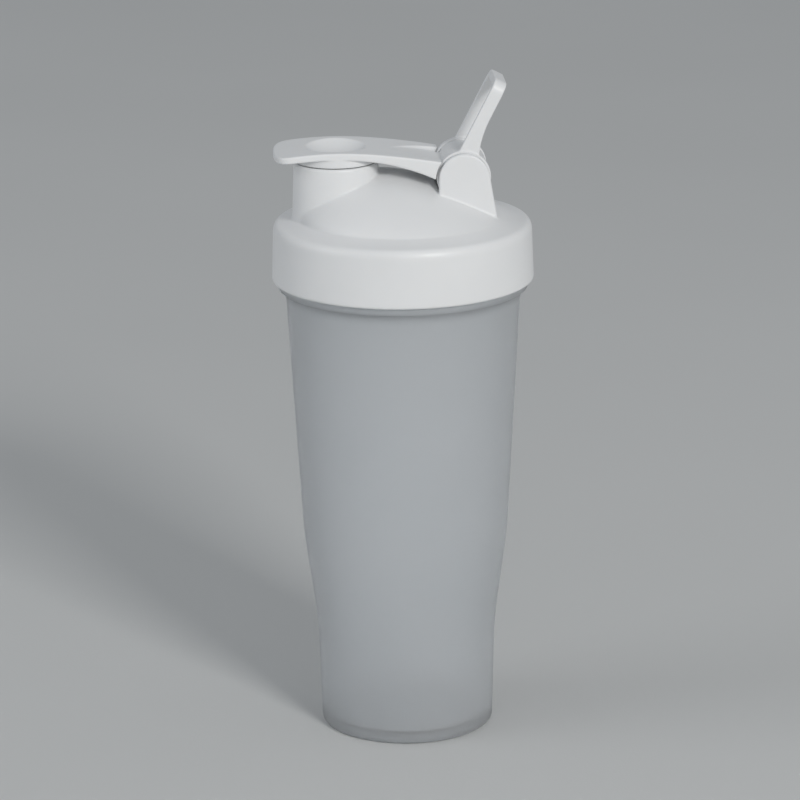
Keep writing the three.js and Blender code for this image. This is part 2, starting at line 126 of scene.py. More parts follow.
# Flip cap
CAP_HALF, CAP_TIP_X = CAP_HIGH[1], CAP_LOW[0]
CAP_PEAK_Z, CAP_END_Z, CAP_THICKNESS, HUB_CLEARANCE = 221.3, 217.3, 2.65, 10.35
TAB_START_X, TAB_ROUNDNESS, TAB_BEND_X, TAB_TOP_DROP, TAB_UNDER_DROP = -40.0, 0.75, -36.0, 2.0, 4.3
ARM_BENDS = [(-10.0, 218.4), (0.0, 216.2)]
CAP_EDGE, CAP_FILLET, BARREL_EDGE, BARREL_FILLET, PIN_HOLE_EDGE = 0.55, 0.35, 0.4, 0.3, 0.25
DISH_RADIUS, DISH_DEPTH, RIM_EDGE = 11.65, 4.0, 0.2
SCOOP_APEX_X, SCOOP_END_X, SCOOP_HALF, SCOOP_DEPTH, SCOOP_APEX_Z = -6.0, 15.0, 10.4, 1.8, 220.3
SCOOP_BEND, SCOOP_SPREAD, SCOOP_BLEND = 0.4, 0.82, 1.6
SEAT_RADIUS, SEAT_BORE, SEAT_Z, SEAT_EDGE = 15.0, 13.7, 215.75, 0.3
PLUG_RADIUS, PLUG_BORE, PLUG_Z, PLUG_EDGE = 12.9, 11.2, 211.2, 0.5
PLUG_FLOOR_Z, PLUG_FLOOR_FILLET = 215.4, 0.4

# Carry loop, along its own axes: u runs up the arms and w faces the spout
LOOP_ANGLE = math.radians(62.6)
LOOP_LENGTH, LOOP_HALF, LOOP_ARM, LOOP_BAR, LOOP_CORNER = 37.2, 11.7, 1.9, 3.0, 5.0
LOOP_FRONT, LOOP_BACK = 5.9, 1.25
LOOP_EDGE, LOOP_FILLET, LOOP_HOLE_EDGE = 0.45, 0.6, 0.3
LOOP_ROOT_BACK, LOOP_ROOT_END, LOOP_ROOT_BEND, LOOP_ROOT_BLEND = -1.6, 9.0, 15.0, 24.0

# Seal ring
SEAL_WIDTH = 4.0

# Mixing grid
GRID_BORE, GRID_PLATE, GRID_CELL, GRID_BAR = 36.6, 1.6, 9.4, 1.8
GRID_RIM_EDGE, GRID_FILLET, GRID_PLATE_EDGE = 0.4, 0.3, 0.2
GRID_MARGIN = 0.8  # the least wall between a cell's corner and the rim

# Surface detail
ROUND_STEPS = 288
FINE = 0.42
LID_STEP = 0.68
BLOCK = 8  # grid steps along the edge of a block that is tested as one
BLOCK_REACH = 1.8  # a block is skipped at this many of its half diagonals from the surface
CELLS_AT_ONCE = 400000

# ---- Outlines ------------------------------------------------------------------------------------


def curve(*controls, steps=14):
    """Points along a Bezier curve of any number of controls."""
    t = np.linspace(0, 1, steps + 1)[:, None]
    points = [np.asarray(c, float) * np.ones_like(t) for c in controls]
    while len(points) > 1:
        points = [a + (b - a) * t for a, b in zip(points, points[1:])]
    return [tuple(p) for p in points[0]]


def arc(centre, radius, start, end, steps=16):
    """Points along a circular arc between two angles in radians."""
    angles = np.linspace(start, end, steps + 1)
    return [(centre[0] + radius * math.cos(a), centre[1] + radius * math.sin(a)) for a in angles]


def rounded(corners, steps=5):
    """A closed outline whose corners given as (x, y, radius) are rounded, and whose other points stay."""
    out = []
    for i, corner in enumerate(corners):
        if len(corner) == 2:
            out.append(tuple(corner))
            continue
        here = np.array(corner[:2])
        before = np.array(corners[i - 1][:2]) - here
        after = np.array(corners[(i + 1) % len(corners)][:2]) - here
        a, b = before / np.linalg.norm(before), after / np.linalg.norm(after)
        half = math.acos(np.clip(a @ b, -1, 1)) / 2
        reach = corner[2] / math.tan(half)
        out += curve(here + a * reach, here, here + b * reach, steps=steps)
    return out


def outline_distance(corners, u, v):
    """Signed distance from points (u, v) to a closed outline, negative inside."""
    nearest = np.full(u.shape, np.inf)
    inside = np.zeros(u.shape, bool)
    for (ax, ay), (bx, by) in zip(corners, corners[1:] + corners[:1]):
        ex, ey = bx - ax, by - ay
        span = ex * ex + ey * ey
        if span == 0:
            continue
        t = np.clip(((u - ax) * ex + (v - ay) * ey) / span, 0, 1)
        nearest = np.minimum(nearest, (u - ax - t * ex) ** 2 + (v - ay - t * ey) ** 2)
        if ay != by:
            crosses = ((ay > v) != (by > v)) & (u < ax + (v - ay) / ey * ex)
            inside ^= crosses
    return np.where(inside, -1, 1) * np.sqrt(nearest)


class Outline:
    """Signed distance to a closed outline, worked out once on a lattice and read back smoothly."""

    def __init__(self, corners, cell=0.2, margin=3.0):
        points = np.array(corners, float)
        self.cell = cell
        self.low = points.min(0) - margin
        self.count = np.ceil((points.max(0) + margin - self.low) / cell).astype(int) + 1
        axes = [self.low[i] + cell * np.arange(self.count[i]) for i in (0, 1)]
        u, v = np.meshgrid(*axes, indexing="ij")
        self.table = outline_distance([tuple(p) for p in points], u, v)

    def __call__(self, u, v):
        a = (u - self.low[0]) / self.cell
        b = (v - self.low[1]) / self.cell
        a_in = np.clip(a, 0, self.count[0] - 1.001)
        b_in = np.clip(b, 0, self.count[1] - 1.001)
        i, j = a_in.astype(int), b_in.astype(int)
        s, t = a_in - i, b_in - j
        near = self.table[i, j] * (1 - t) + self.table[i, j + 1] * t
        far = self.table[i + 1, j] * (1 - t) + self.table[i + 1, j + 1] * t
        beyond = np.hypot(a - a_in, b - b_in) * self.cell
        return near * (1 - s) + far * s + beyond


# ---- Joining and cutting fields of signed distance -----------------------------------------------


def join(a, b, radius=0.0):
    """Union, with a fillet of that radius where the two meet."""
    if radius == 0:
        return np.minimum(a, b)
    inner = np.hypot(np.maximum(radius - a, 0), np.maximum(radius - b, 0))
    return np.maximum(radius, np.minimum(a, b)) - inner


def common(a, b, radius=0.0):
    """Intersection, with its edges rounded to that radius."""
    return -join(-a, -b, radius)


def cut(a, b, radius=0.0):
    """a without b, with the new edges rounded."""
    return common(a, -b, radius)


def prism(across, along, half, radius=0.0):
    """A slab: an outline's distance across, and a coordinate along, out to half each way."""
    return common(across, np.abs(along) - half, radius)


def cylinder(distance, radius, along, half, edge=0.0):
    """A round bar, from the distance to its axis."""
    return common(distance - radius, np.abs(along) - half, edge)


# ---- Meshes --------------------------------------------------------------------------------------


def new_object(name, points, *groups):
    """A smooth mesh object from points in millimetres and arrays of faces with equal corner counts."""
    groups = [np.asarray(group, np.int32) for group in groups if len(group)]
    corners = np.concatenate([group.ravel() for group in groups])
    sides = np.concatenate([np.full(len(group), group.shape[1]) for group in groups])
    mesh = bpy.data.meshes.new(name)
    mesh.vertices.add(len(points))
    mesh.vertices.foreach_set("co", (np.asarray(points, np.float32) * MM).ravel())
    mesh.loops.add(len(corners))
    mesh.loops.foreach_set("vertex_index", corners)
    mesh.polygons.add(len(sides))
    mesh.polygons.foreach_set("loop_start", (np.cumsum(sides) - sides).astype(np.int32))
    mesh.polygons.foreach_set("use_smooth", np.full(len(sides), True))
    mesh.update(calc_edges=True)
    mesh.validate()
    obj = bpy.data.objects.new(name, mesh)
    bpy.context.scene.collection.objects.link(obj)
    return obj


def lattice_points(counts):
    """Every whole (i, j, k) below three counts."""
    return np.stack(np.meshgrid(*[np.arange(n) for n in counts], indexing="ij"), -1).reshape(-1, 3)


def sample(field, low, high, step):
    """Values of a field on a grid. Away from the surface, whole blocks take their middle's sign."""
    blocks = np.ceil((high - low) / (step * BLOCK)).astype(int)
    starts = lattice_points(blocks) * BLOCK
    middles = low + (starts + BLOCK / 2) * step
    value = field(*middles.T)
    reach = BLOCK * step * math.sqrt(3) / 2 * BLOCK_REACH + step
    values = np.sign(value).reshape(blocks)
    for axis in range(3):
        values = np.repeat(values, BLOCK, axis)
    values = values.astype(np.float32) * reach
    near = starts[np.abs(value) < reach]
    cells = (near[:, None] + lattice_points([BLOCK] * 3)[None]).reshape(-1, 3)
    for part in np.array_split(cells, max(1, len(cells) // CELLS_AT_ONCE)):
        values[tuple(part.T)] = field(*(low + part * step).T)
    return values


def net(values, low, step):
    """Surface nets: one point in each cell that the surface crosses, one quad across each crossed edge."""
    inside = values < 0
    size = np.array(values.shape) - 1
    corners = [(i, j, k) for i in (0, 1) for j in (0, 1) for k in (0, 1)]
    count = sum(
        inside[i:i + size[0], j:j + size[1], k:k + size[2]].astype(np.int8) for i, j, k in corners
    )
    active = np.argwhere((count > 0) & (count < 8))
    number = np.full(size, -1, np.int32)
    number[tuple(active.T)] = np.arange(len(active))
    total = np.zeros((len(active), 3))
    crossings = np.zeros(len(active))
    for c in corners:
        for axis in range(3):
            if c[axis]:
                continue
            d = list(c)
            d[axis] = 1
            a = values[tuple((active + c).T)]
            b = values[tuple((active + d).T)]
            crossed = (a < 0) != (b < 0)
            t = np.where(crossed, a / np.where(crossed, a - b, 1), 0)
            place = np.array(c, float) + t[:, None] * np.eye(3)[axis]
            total += np.where(crossed[:, None], place, 0)
            crossings += crossed
    points = low + (active + total / crossings[:, None]) * step
    quads = []
    for axis in range(3):
        one, two = [a for a in range(3) if a != axis]
        start = [slice(1, n) for n in size]
        start[axis] = slice(0, size[axis])
        end = list(start)
        end[axis] = slice(1, size[axis] + 1)
        a, b = inside[tuple(start)], inside[tuple(end)]
        edges = np.argwhere(a != b)
        leaves = a[tuple(edges.T)]
        edges = edges + np.where(np.arange(3) == axis, 0, 1)
        steps = [(0, 0), (1, 0), (1, 1), (0, 1)]
        ring = []
        for s in steps:
            cell = edges.copy()
            cell[:, one] -= s[0]
            cell[:, two] -= s[1]
            ring.append(number[tuple(cell.T)])
        ring = np.stack(ring, 1)
        flip = leaves if axis == 1 else ~leaves
        ring[flip] = ring[flip][:, ::-1]
        quads.append(ring)
    return points, np.concatenate(quads)


def settle(points, field, step, rounds=3):
    """Moves points onto the field's exact surface along its slope."""
    reach = 0.1 * step
    for _ in range(rounds):
        here = field(*points.T)
        slope = np.stack([
            field(*(points + reach * axis).T) - field(*(points - reach * axis).T) for axis in np.eye(3)
        ], -1) / (2 * reach)
        size = np.maximum((slope ** 2).sum(-1), 0.25)
        move = -(here / size)[:, None] * slope
        limit = np.minimum(1, step / np.maximum(np.linalg.norm(move, axis=1), 1e-9))
        points = points + move * limit[:, None]
    return points


def relax(points, quads, share=0.5):
    """Moves each point part of the way to the middle of its neighbours."""
    total = np.zeros_like(points)
    count = np.zeros(len(points))
    for a, b in ((0, 1), (1, 2), (2, 3), (3, 0)):
        for one, two in ((a, b), (b, a)):
            for axis in range(3):
                total[:, axis] += np.bincount(quads[:, one], points[quads[:, two], axis], len(points))
            count += np.bincount(quads[:, one], minlength=len(points))
    return points + share * (total / count[:, None] - points)


def moulded(name, field, low, high, step=FINE):
    """A smooth object of the space where a field is negative, within a box in millimetres."""
    margin = 2.3 * step
    low = np.asarray(low, float) - margin
    high = np.asarray(high, float) + margin
    points, quads = net(sample(field, low, high, step), low, step)
    for _ in range(2):
        points = settle(relax(points, quads), field, step)
    return new_object(name, points, quads)


def lathe(name, outline, steps=ROUND_STEPS):
    """A closed outline of (radius, height) turned about the axis. Points on the axis become one."""
    outline = np.array(outline, float)
    on_axis = np.isclose(outline[:, 0], 0)
    angles = np.arange(steps) * 2 * math.pi / steps
    points = np.stack([
        outline[:, None, 0] * np.cos(angles),
        outline[:, None, 0] * np.sin(angles),
        np.broadcast_to(outline[:, None, 1], (len(outline), steps)),
    ], -1).reshape(-1, 3)
    number = np.arange(len(outline) * steps).reshape(len(outline), steps)
    number[on_axis] = number[on_axis][:, :1]
    around = np.roll(np.arange(steps), -1)
    quads, fans = [], []
    for i in range(len(outline)):
        j = (i + 1) % len(outline)
        if on_axis[i] and on_axis[j]:
            continue
        a, b, c, d = number[i], number[i][around], number[j][around], number[j]
        if on_axis[i]:
            fans.append(np.stack([a, c, d], 1))
        elif on_axis[j]:
            fans.append(np.stack([a, b, c], 1))
        else:
            quads.append(np.stack([a, b, c, d], 1))
    obj = new_object(name, points, np.concatenate(quads), *fans)
    tidy_mesh(obj)
    return obj


def tidy_mesh(obj):
    """Drops loose points and folded faces, and turns the faces outwards."""
    work = bmesh.new()
    work.from_mesh(obj.data)
    bmesh.ops.remove_doubles(work, verts=work.verts, dist=1e-7)
    loose = [v for v in work.verts if not v.link_faces]
    bmesh.ops.delete(work, geom=loose, context="VERTS")
    bmesh.ops.recalc_face_normals(work, faces=work.faces)
    work.to_mesh(obj.data)
    work.free()


def thread_ridge(name, root, crest, start_z, steps=240):
    """A helical ridge with a soft section, fading in and out at its ends."""
    flank = [(0.0, -1.0), (0.55, -0.8), (0.92, -0.5), (1.0, -0.2)]
    section = flank + [(out, -up) for out, up in flank[::-1]]
    t = np.linspace(0, 1, steps + 1)
    fade = np.sqrt(np.clip(np.minimum(t, 1 - t) * TURNS / THREAD_FADE, THREAD_LEAST, 1))
    angle = t * TURNS * 2 * math.pi
    rows = []
    for out, up in section:
        radius = root + out * (crest - root) * fade
        height = start_z + t * TURNS * PITCH + up * fade
        rows.append(np.stack([radius * np.cos(angle), radius * np.sin(angle), height], -1))
    points = np.stack(rows, 1).reshape(-1, 3)
    sides = len(section)
    quads = []
    for i in range(steps):
        for j in range(sides):
            k = (j + 1) % sides
            quads.append((i * sides + j, (i + 1) * sides + j, (i + 1) * sides + k, i * sides + k))
    for base in (0, steps * sides):
        for j in range(sides // 2 - 1):
            quads.append((base + j, base + j + 1, base + sides - 2 - j, base + sides - 1 - j))
    obj = new_object(name, points, quads)
    tidy_mesh(obj)
    return obj


def merge(name, *objects):
    """Joins objects into the first, under one name."""
    bpy.ops.object.select_all(action="DESELECT")
    for obj in objects:
        obj.select_set(True)
    bpy.context.view_layer.objects.active = objects[0]
    bpy.ops.object.join()
    objects[0].name = name
    objects[0].data.name = name
    return objects[0]


# ---- Cup -----------------------------------------------------------------------------------------


def cup_outline():
    """The cup's section from the middle of its underside, up the outside and down the inside."""
    grip = (GRIP_RADIUS, GRIP_Z)
    foot = (TAPER_FOOT_RADIUS, TAPER_FOOT_Z)
    swell = [grip, *SWELL_BENDS, foot]
    inside = [(radius - WALL, z) for radius, z in swell]
    top = (TAPER_TOP_RADIUS, TAPER_TOP_Z)
    outside = rounded([
        (0, RECESS_DEPTH),
        (RECESS_RADIUS, RECESS_DEPTH, 0.9),
        (RECESS_RADIUS + RECESS_SLOPE, 0, 0.6),
        (BASE_RADIUS, 0, BASE_CORNER),
        grip,
    ], steps=8)
    collar = (COLLAR_RADIUS, COLLAR_Z - COLLAR_HEIGHT)
    shoulder = curve(top, COLLAR_BEND, collar, steps=12)
    neck = rounded([
        collar,
        (COLLAR_RADIUS, COLLAR_Z, 0.35),
        (NECK_RADIUS, COLLAR_Z, 0.4),
        (NECK_RADIUS, RIM_Z, 0.7),
        (NECK_BORE, RIM_Z, 0.5),
        (TAPER_TOP_RADIUS - WALL, TAPER_TOP_Z - 1, NECK_BLEND),
        (TAPER_FOOT_RADIUS - WALL, TAPER_FOOT_Z),
    ], steps=6)
    floor = rounded([
        inside[0],
        (BASE_RADIUS - WALL, FLOOR_Z, FLOOR_CORNER),
        (0, FLOOR_Z),
    ], steps=8)
    bore = curve(*inside[::-1], steps=28)[1:-1]
    return outside[:-1] + curve(*swell, steps=28) + shoulder[:-1] + neck + bore + floor


def make_cup():
    shell = lathe("cup_shell", densify(cup_outline(), 4.0))
    ridge = thread_ridge("neck_thread", NECK_RADIUS - NECK_ROOT_SUNK, NECK_CREST, THREAD_Z)
    return merge("frosted_cup", shell, ridge)


def densify(outline, longest):
    """Splits the long straight stretches of an open outline."""
    out = [outline[0]]
    for a, b in zip(outline, outline[1:]):
        pieces = max(1, math.ceil(math.dist(a, b) / longest))
        out += [(a[0] + (b[0] - a[0]) * i / pieces, a[1] + (b[1] - a[1]) * i / pieces)
                for i in range(1, pieces + 1)]
    return out


# ---- Lid -----------------------------------------------------------------------------------------

# Outlines for turned fields run past the axis, so that the axis is no edge.
AXIS_PAST = -6.0


def lid_outside():
    """The lid as if it were solid and the dome stood upright, from the skirt's foot to the dome's top."""
    edge_bend = (EDGE_RADIUS - 0.15, EDGE_END_Z - 0.7)
    edge = curve((EDGE_RADIUS, EDGE_START_Z), edge_bend, (EDGE_END_RADIUS, EDGE_END_Z))
    dome_foot, dome_top = (DOME_FOOT_RADIUS, DOME_FOOT_Z), (DOME_TOP_RADIUS, DOME_TOP_Z)
    ledge = curve(edge[-1], LEDGE_BEND, dome_foot)
    dome = curve(dome_foot, *DOME_BENDS, dome_top, steps=30)
    foot = rounded([(AXIS_PAST, SKIRT_Z), (SKIRT_RADIUS, SKIRT_Z, 0.6), edge[0]])[:-1]
    return Outline(foot + edge + ledge[1:] + dome[1:] + [(AXIS_PAST, DOME_TOP_Z)])


def lean_at(z):
    """How far the dome's circle at a height stands off the bottle's axis, towards the spout."""
    share = np.clip((z - DOME_FOOT_Z) / (DOME_TOP_Z - DOME_FOOT_Z), 0, 1)
    return -LEAN * share * (2 - share)


def under_deck():
    """The space under the lid's deck, with the plug ring standing down into it."""
    return Outline(rounded([
        (AXIS_PAST, SKIRT_Z - 8),
        (SKIRT_BORE + 0.3, SKIRT_Z - 8),
        (SKIRT_BORE, DECK_Z, 1.0),
        (PLUG_RING_RADIUS, DECK_Z, 0.5),
        (PLUG_RING_RADIUS - 0.1, PLUG_RING_Z, 0.5),
        (PLUG_RING_BORE, PLUG_RING_Z, 0.4),
        (PLUG_RING_BORE, DECK_Z),
        (AXIS_PAST, DECK_Z),
    ]))


def spout_outside():
    return Outline(rounded([
        (AXIS_PAST, SPOUT_FOOT_Z - 4),
        (SPOUT_FOOT_RADIUS, SPOUT_FOOT_Z - 4),
        (SPOUT_FOOT_RADIUS, SPOUT_FOOT_Z),
        (SPOUT_RADIUS, SPOUT_TOP_Z, 0.7),
        (AXIS_PAST, SPOUT_TOP_Z),
    ]))


def ear_outline():
    head = arc((PIVOT_X, PIVOT_Z), EAR_RADIUS, EAR_HEAD_ANGLE, math.pi, steps=28)
    return Outline(head + [(PIVOT_X - EAR_RADIUS, EAR_FRONT_Z), (EAR_FOOT_X, EAR_FOOT_Z)])


def lid_field():
    outside, deck, spout, ear = lid_outside(), under_deck(), spout_outside(), ear_outline()
    pocket_half = EAR_INNER + POCKET_WALL
    ear_middle, ear_half = (EAR_INNER + EAR_OUTER) / 2, (EAR_OUTER - EAR_INNER) / 2
    stub_middle, stub_half = (STUB_REACH + EAR_INNER + 1) / 2, (EAR_INNER + 1 - STUB_REACH) / 2

    def field(x, y, z):
        radius = np.hypot(x, y)
        from_spout = np.hypot(x - SPOUT_X, y)
        from_pivot = np.hypot(x - PIVOT_X, z - PIVOT_Z)
        bulk = outside(np.hypot(x - lean_at(z), y), z)
        above = z + SHELL_UPRIGHT
        lowered = outside(np.hypot(x - lean_at(above), y) + SHELL_SIDEWAYS, above)
        space = join(deck(radius, z), common(lowered, radius - PLUG_RING_BORE, SPACE_EDGE))
        body = join(bulk, spout(from_spout, z), LID_FILLET)
        body = cut(body, space, LID_EDGE)
        ears = prism(ear(x, z), np.abs(y) - ear_middle, ear_half, EAR_EDGE)
        body = join(body, ears, LID_FILLET)
        trough = common(cylinder(from_pivot, POCKET_RADIUS + POCKET_WALL, y, pocket_half), bulk + 0.5)
        body = join(body, trough, TROUGH_FILLET)
        body = cut(body, common(from_spout - SPOUT_BORE, DECK_Z - z), SPOUT_EDGE)
        body = cut(body, cylinder(from_pivot, POCKET_RADIUS, y, EAR_INNER), LID_EDGE)
        stubs = cylinder(from_pivot, STUB_RADIUS, np.abs(y) - stub_middle, stub_half, STUB_EDGE)
        return join(body, stubs, LID_EDGE)

    return field


def make_lid():
    body = moulded("lid_body", lid_field(), LID_LOW, LID_HIGH, LID_STEP)
    root = SKIRT_BORE + SKIRT_ROOT_SUNK
    ridge = thread_ridge("skirt_thread", root, SKIRT_CREST, THREAD_Z - THREAD_DROP)
    return merge("moulded_lid", body, ridge)


# ---- Flip cap ------------------------------------------------------------------------------------


def cap_side():
    """The cap from the side, as x and z."""
    rear_x = PIVOT_X - BARREL_RADIUS
    rear = (rear_x, PIVOT_Z - 0.3)
    tip = CAP_TIP_X - 1
    top, under = (SPOUT_X, CAP_PEAK_Z), (SPOUT_X, CAP_PEAK_Z - CAP_THICKNESS)
    return Outline(
        curve((tip, CAP_PEAK_Z - TAB_UNDER_DROP), (TAB_BEND_X, under[1]), under)
        + curve(under, *ARM_BENDS, rear, steps=24)[1:]
        + [(PIVOT_X, rear[1]), (PIVOT_X, CAP_END_Z - 0.6)]
        + curve((rear_x + 1, CAP_END_Z), (ARM_BENDS[0][0], CAP_PEAK_Z), top, steps=24)
        + curve(top, (TAB_BEND_X, CAP_PEAK_Z), (tip, CAP_PEAK_Z - TAB_TOP_DROP))[1:]
    )


def cap_plan():
    """The cap from above, as x and y: straight sides and a broad blunt tab."""
    shoulder_x = TAB_START_X - TAB_ROUNDNESS * (TAB_START_X - CAP_TIP_X)
    shoulder_y = TAB_ROUNDNESS * CAP_HALF
    start, tip = (TAB_START_X, CAP_HALF), (CAP_TIP_X, 0)
    far = curve(tip, (CAP_TIP_X, shoulder_y), (shoulder_x, CAP_HALF), start, steps=20)
    near = [(x, -y) for x, y in far[::-1]]
    return Outline([(PIVOT_X, -CAP_HALF)] + near + far[1:] + [(PIVOT_X, CAP_HALF)])


def dish_field(distance, z):
    """The dish: a ball that dips into the top round the spout's axis."""
    ball = (DISH_RADIUS ** 2 + DISH_DEPTH ** 2) / (2 * DISH_DEPTH)
    return np.hypot(distance, z - (CAP_PEAK_Z - DISH_DEPTH + ball)) - ball


def scoop_outline():
    """The scoop from above, as x and y."""
    length = SCOOP_END_X - SCOOP_APEX_X
    bend_x, bend_y = SCOOP_APEX_X + SCOOP_BEND * length, SCOOP_SPREAD * SCOOP_HALF
    near = curve((SCOOP_APEX_X, 0), (bend_x, -bend_y), (SCOOP_END_X, -SCOOP_HALF))
    far = curve((SCOOP_END_X, SCOOP_HALF), (bend_x, bend_y), (SCOOP_APEX_X, 0))
    return Outline(near + far[:-1])


def cap_field():
    side, plan, scoop = cap_side(), cap_plan(), scoop_outline()
    scoop_slope = math.atan2(SCOOP_APEX_Z - CAP_END_Z + SCOOP_DEPTH, SCOOP_END_X - SCOOP_APEX_X)
    hub_middle, hub_half = (BARREL_HALF + CAP_HALF + 1) / 2, (CAP_HALF + 1 - BARREL_HALF) / 2
    hole_depth = BARREL_HALF - STUB_REACH + PIN_HOLE_PLAY
    root_z = CAP_PEAK_Z - CAP_THICKNESS + 0.5
    floor_middle, floor_half = (PLUG_FLOOR_Z + root_z) / 2, (root_z - PLUG_FLOOR_Z) / 2

    def tube(distance, outer, bore, z, low, edge):
        """A short upright tube from low up to the plate's root."""
        middle, half = (low + root_z) / 2, (root_z - low) / 2
        return cut(cylinder(distance, outer, z - middle, half, edge), distance - bore, edge)

    def field(x, y, z):
        from_spout = np.hypot(x - SPOUT_X, y)
        from_pivot = np.hypot(x - PIVOT_X, z - PIVOT_Z)
        body = common(side(x, z), plan(x, y), CAP_EDGE)
        hubs = cylinder(from_pivot, HUB_CLEARANCE, np.abs(y) - hub_middle, hub_half)
        body = cut(body, hubs, CAP_FILLET)
        barrel = cylinder(from_pivot, BARREL_RADIUS, y, BARREL_HALF, BARREL_EDGE)
        body = join(body, barrel, BARREL_FILLET)
        floor = (SCOOP_APEX_Z - z) * math.cos(scoop_slope) - (x - SCOOP_APEX_X) * math.sin(scoop_slope)
        body = cut(body, common(scoop(x, y), floor, SCOOP_BLEND), RIM_EDGE)
        body = join(body, tube(from_spout, SEAT_RADIUS, SEAT_BORE, z, SEAT_Z, SEAT_EDGE), CAP_FILLET)
        body = join(body, tube(from_spout, PLUG_RADIUS, PLUG_BORE, z, PLUG_Z, PLUG_EDGE), CAP_FILLET)
        plug_floor = cylinder(from_spout, PLUG_RADIUS - PLUG_EDGE, z - floor_middle, floor_half)
        body = join(body, plug_floor, PLUG_FLOOR_FILLET)
        body = cut(body, dish_field(from_spout, z), RIM_EDGE)
        holes = cylinder(from_pivot, PIN_HOLE, np.abs(y) - BARREL_HALF, hole_depth)
        return cut(body, holes, PIN_HOLE_EDGE)

    return field


def make_cap():
    return moulded("moulded_cap", cap_field(), CAP_LOW, CAP_HIGH, 0.8 * FINE)


# ---- Carry loop ----------------------------------------------------------------------------------


def loop_face():
    """The loop face-on, as u and y: an upside-down U."""
    inner = LOOP_HALF - LOOP_ARM
    top = LOOP_LENGTH - LOOP_BAR
    inner_corner = LOOP_CORNER - LOOP_BAR + 0.5
    return Outline(rounded([
        (0, -LOOP_HALF),
        (LOOP_LENGTH, -LOOP_HALF, LOOP_CORNER),
        (LOOP_LENGTH, LOOP_HALF, LOOP_CORNER),
        (0, LOOP_HALF),
        (0, inner),
        (top, inner, inner_corner),
        (top, -inner, inner_corner),
        (0, -inner),
    ], steps=10))


def loop_side():
    """The arms from the side, as u and w."""
    past = LOOP_LENGTH + 1
    root = (LOOP_ROOT_END, LOOP_ROOT_BACK)
    back = curve(root, (LOOP_ROOT_BEND, LOOP_BACK), (LOOP_ROOT_BLEND, LOOP_BACK))
    return Outline([(0, LOOP_ROOT_BACK)] + back + [(past, LOOP_BACK), (past, LOOP_FRONT), (0, LOOP_FRONT)])


def loop_field():
    face, side = loop_face(), loop_side()
    hub_middle, hub_half = (HUB_INNER + HUB_OUTER) / 2, (HUB_OUTER - HUB_INNER) / 2

    def field(u, y, w):
        from_pivot = np.hypot(u, w)
        strap = common(face(u, y), side(u, w), LOOP_EDGE)
        hub = cylinder(from_pivot, HUB_RADIUS, np.abs(y) - hub_middle, hub_half, LOOP_EDGE)
        return cut(join(strap, hub, LOOP_FILLET), from_pivot - PIN_HOLE, LOOP_HOLE_EDGE)

    return field


def make_loop():
    low = (-HUB_RADIUS, -LOOP_HALF, -HUB_RADIUS)
    high = (LOOP_LENGTH, LOOP_HALF, HUB_RADIUS)
    obj = moulded("moulded_loop", loop_field(), low, high, 0.75 * FINE)
    turn = Matrix.Rotation(-LOOP_ANGLE, 4, "Y")
    place = Matrix.Translation(Vector((PIVOT_X, 0, PIVOT_Z)) * MM)
    obj.data.transform(place @ turn)
    return obj


# ---- Seal ring and mixing grid -------------------------------------------------------------------


def make_seal():
    inner, outer = SEAL_HIGH[0] - SEAL_WIDTH, SEAL_HIGH[0]
    low, high = SEAL_LOW[2], SEAL_HIGH[2]
    middle = (inner + outer) / 2
    return lathe("silicone_seal", rounded([
        (inner, low + 0.4, 0.2),
        (middle, low, 0.8),
        (outer, low + 0.4, 0.2),
        (outer, high, 0.3),
        (inner, high, 0.3),
    ]))


def make_grid():
    """A lattice of square cells inside a deeper rim. Cells that would reach the rim stay closed."""
    low, high, radius = GRID_LOW[2], GRID_HIGH[2], GRID_HIGH[0]
    hole = (GRID_CELL - GRID_BAR) / 2

    def field(x, y, z):
        distance = np.hypot(x, y)
        column, row = np.round(x / GRID_CELL), np.round(y / GRID_CELL)
        corner = np.hypot(np.abs(column * GRID_CELL) + hole, np.abs(row * GRID_CELL) + hole)
        square = np.maximum(np.abs(x - column * GRID_CELL), np.abs(y - row * GRID_CELL)) - hole
        square = np.where(corner > GRID_BORE - GRID_MARGIN, 1.0, square)
        lattice = cylinder(distance, radius - 0.6, z - low - GRID_PLATE / 2, GRID_PLATE / 2, GRID_PLATE_EDGE)
        lattice = cut(lattice, square, GRID_FILLET)
        rim = cylinder(distance, radius, z - (low + high) / 2, (high - low) / 2, GRID_RIM_EDGE)
        rim = cut(rim, distance - GRID_BORE, GRID_RIM_EDGE)
        return join(lattice, rim, GRID_FILLET)

    return moulded("lattice_grid", field, GRID_LOW, GRID_HIGH)


# ---- Materials -----------------------------------------------------------------------------------


